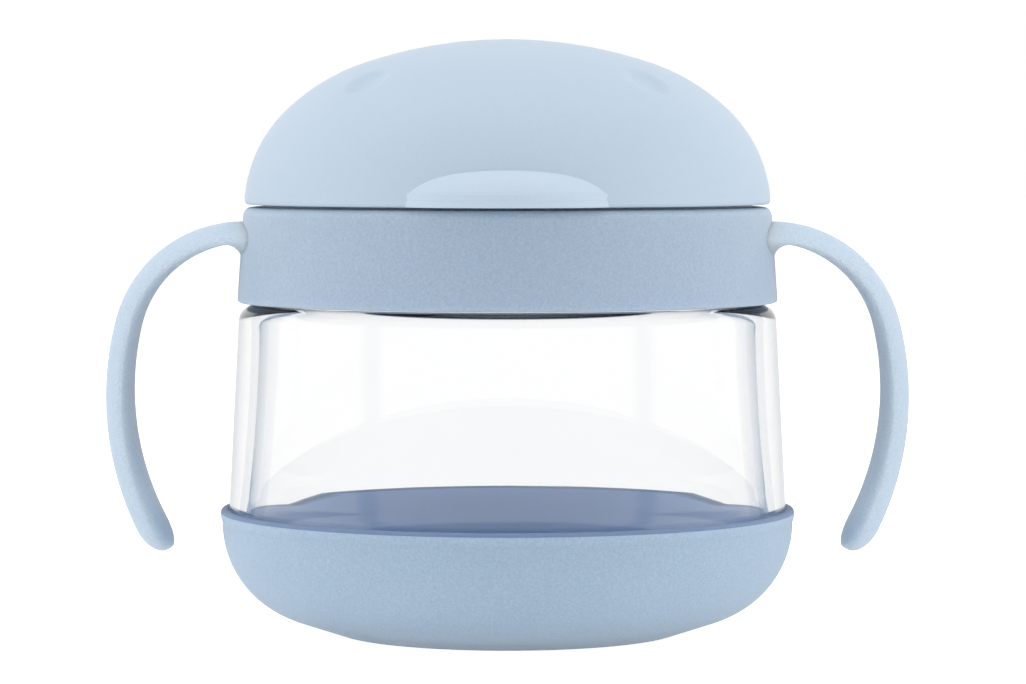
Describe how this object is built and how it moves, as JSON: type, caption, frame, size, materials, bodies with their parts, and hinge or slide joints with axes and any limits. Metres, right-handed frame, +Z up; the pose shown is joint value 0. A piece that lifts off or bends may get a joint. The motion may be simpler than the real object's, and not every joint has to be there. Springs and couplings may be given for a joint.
{
  "type": "toddler snack container",
  "caption": "Clear glass snack jar in a soft base cup, with a screw collar that carries side handles, a funnel spill guard and a hinged domed lid.",
  "frame": {"origin": "on the floor, at the centre of the foot pad", "axes": "+Z up the jar's axis, X through the two handles, thumb grip towards -Y, hinge towards +Y"},
  "size_m": [0.1406, 0.1024, 0.1036],
  "materials": {
    "soft_blue": "soft matt moulded elastomer, powder blue",
    "grip_rubber": "matt non-slip elastomer, slate blue",
    "clear_glass": "polished clear glass",
    "silicone": "translucent white silicone",
    "milky_plastic": "satin milky polypropylene",
    "body_blue": "satin moulded polypropylene, powder blue",
    "pin_steel": "bright drawn stainless steel",
    "lid_blue": "satin moulded polypropylene, pale powder blue"
  },
  "bodies": {
    "jar": {"jar": "clear_glass", "base_cup": "soft_blue", "foot_pad": "grip_rubber"},
    "guard": {"spill_guard": "milky_plastic", "jar_gasket": "silicone"},
    "collar": {"collar": "body_blue", "left_handle": "body_blue", "right_handle": "body_blue", "hinge_pin": "pin_steel"},
    "lid": {"lid": "lid_blue", "lid_seal": "silicone"}
  },
  "joints": [
    {"name": "guard_lift", "type": "slide", "parent": "jar", "child": "guard", "axis": [0, 0, 1], "range_m": [0, 0.00601]},
    {"name": "collar_turn", "type": "hinge", "parent": "guard", "child": "collar", "pos_m": [0, 0, 0.066], "axis": [0, 0, 1], "range_deg": [0, 240]},
    {"name": "lid_hinge", "type": "hinge", "parent": "collar", "child": "lid", "pos_m": [0, 0.04925, 0.07462], "axis": [-1, 0, 0], "range_deg": [0, 110]}
  ],
  "couplings": [
    {"joint": "guard_lift", "follows": "collar_turn", "m_per_rad": 0.0014324}
  ]
}
